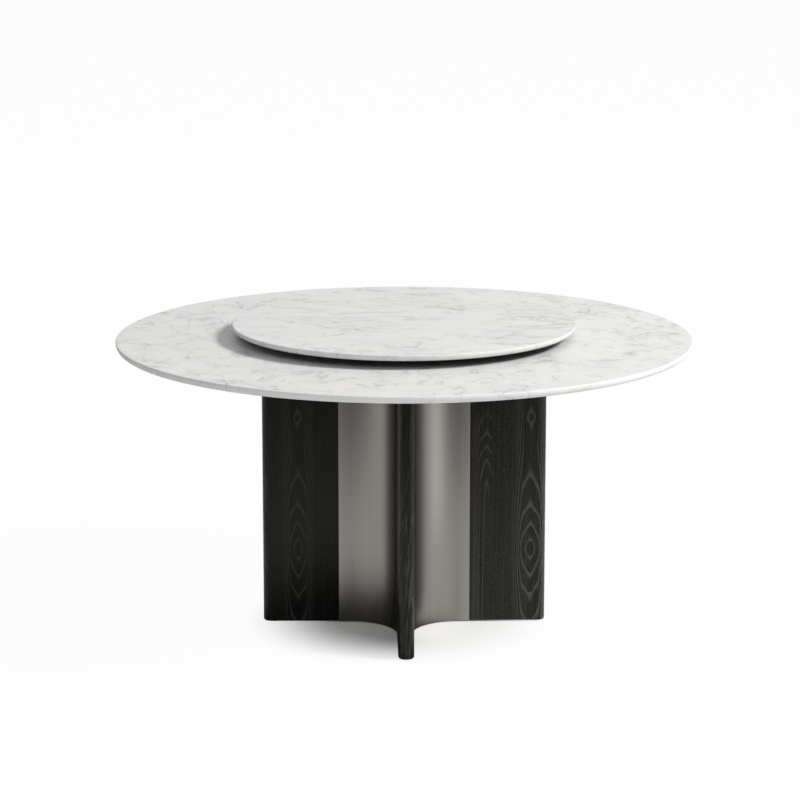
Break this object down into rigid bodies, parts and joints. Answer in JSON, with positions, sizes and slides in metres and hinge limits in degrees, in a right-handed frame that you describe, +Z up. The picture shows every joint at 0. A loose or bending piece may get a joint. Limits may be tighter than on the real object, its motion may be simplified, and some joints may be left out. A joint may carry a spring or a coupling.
{
  "type": "stone dining table",
  "caption": "Round marble dining table with a turning marble serving disc, on a cross-shaped pedestal of black ash wings with brushed metal coves between them.",
  "frame": {"origin": "on the floor, on the table's vertical axis", "axes": "+Z up along the turntable's axis, one pedestal wing along each of +X, -X, +Y and -Y, front at -Y"},
  "size_m": [1.4998, 1.4998, 0.806],
  "materials": {
    "marble": "polished, white with soft grey veins",
    "black_ash": "black-stained open-grain veneer, satin lacquer",
    "brushed_metal": "brushed along the height, warm grey",
    "plywood": "raw birch plywood",
    "black_board": "black paint on plywood",
    "black_steel": "black powder coat",
    "zinc_steel": "zinc plated",
    "bearing_steel": "ground and polished",
    "aluminium": "turned, clear anodised",
    "nylon": "moulded black nylon",
    "silicone": "translucent grey silicone",
    "bronze": "oil-filled bronze"
  },
  "bodies": {
    "table": {"table_top": "marble", "backing_board": "black_board", "insert_nuts": "zinc_steel", "mounting_plate": "black_steel", "plate_bolts": "zinc_steel", "plate_washers": "zinc_steel", "centre_post": "black_steel", "foot_plate": "black_steel", "weld_nuts": "zinc_steel", "frame_bolts": "zinc_steel", "floor_glides": "nylon", "base_pads": "silicone", "bearing_lower_plate": "aluminium", "king_pin": "bearing_steel", "thrust_washer": "bearing_steel", "retaining_clip": "bearing_steel", "wing_front_shell": "black_ash", "wing_front_frame": "plywood", "wing_right_shell": "black_ash", "wing_right_frame": "plywood", "wing_back_shell": "black_ash", "wing_back_frame": "plywood", "wing_left_shell": "black_ash", "wing_left_frame": "plywood", "cove_front_left_skin": "brushed_metal", "cove_front_left_backer": "plywood", "cove_front_left_ribs": "plywood", "cove_front_right_skin": "brushed_metal", "cove_front_right_backer": "plywood", "cove_front_right_ribs": "plywood", "cove_back_right_skin": "brushed_metal", "cove_back_right_backer": "plywood", "cove_back_right_ribs": "plywood", "cove_back_left_skin": "brushed_metal", "cove_back_left_backer": "plywood", "cove_back_left_ribs": "plywood"},
    "ball_ring": {"bearing_balls": "bearing_steel", "ball_cage": "nylon"},
    "turntable": {"bearing_upper_plate": "aluminium", "pivot_bush": "bronze", "disc_pads": "silicone", "turntable_disc": "marble"}
  },
  "joints": [
    {"name": "turntable_spin", "type": "hinge", "parent": "table", "child": "turntable", "pos_m": [0, 0, 0.7875], "axis": [0, 0, 1], "continuous": true},
    {"name": "ball_cage_orbit", "type": "hinge", "parent": "table", "child": "ball_ring", "pos_m": [0, 0, 0.779], "axis": [0, 0, 1], "continuous": true}
  ],
  "couplings": [
    {"joint": "ball_cage_orbit", "follows": "turntable_spin", "ratio": 0.5}
  ]
}
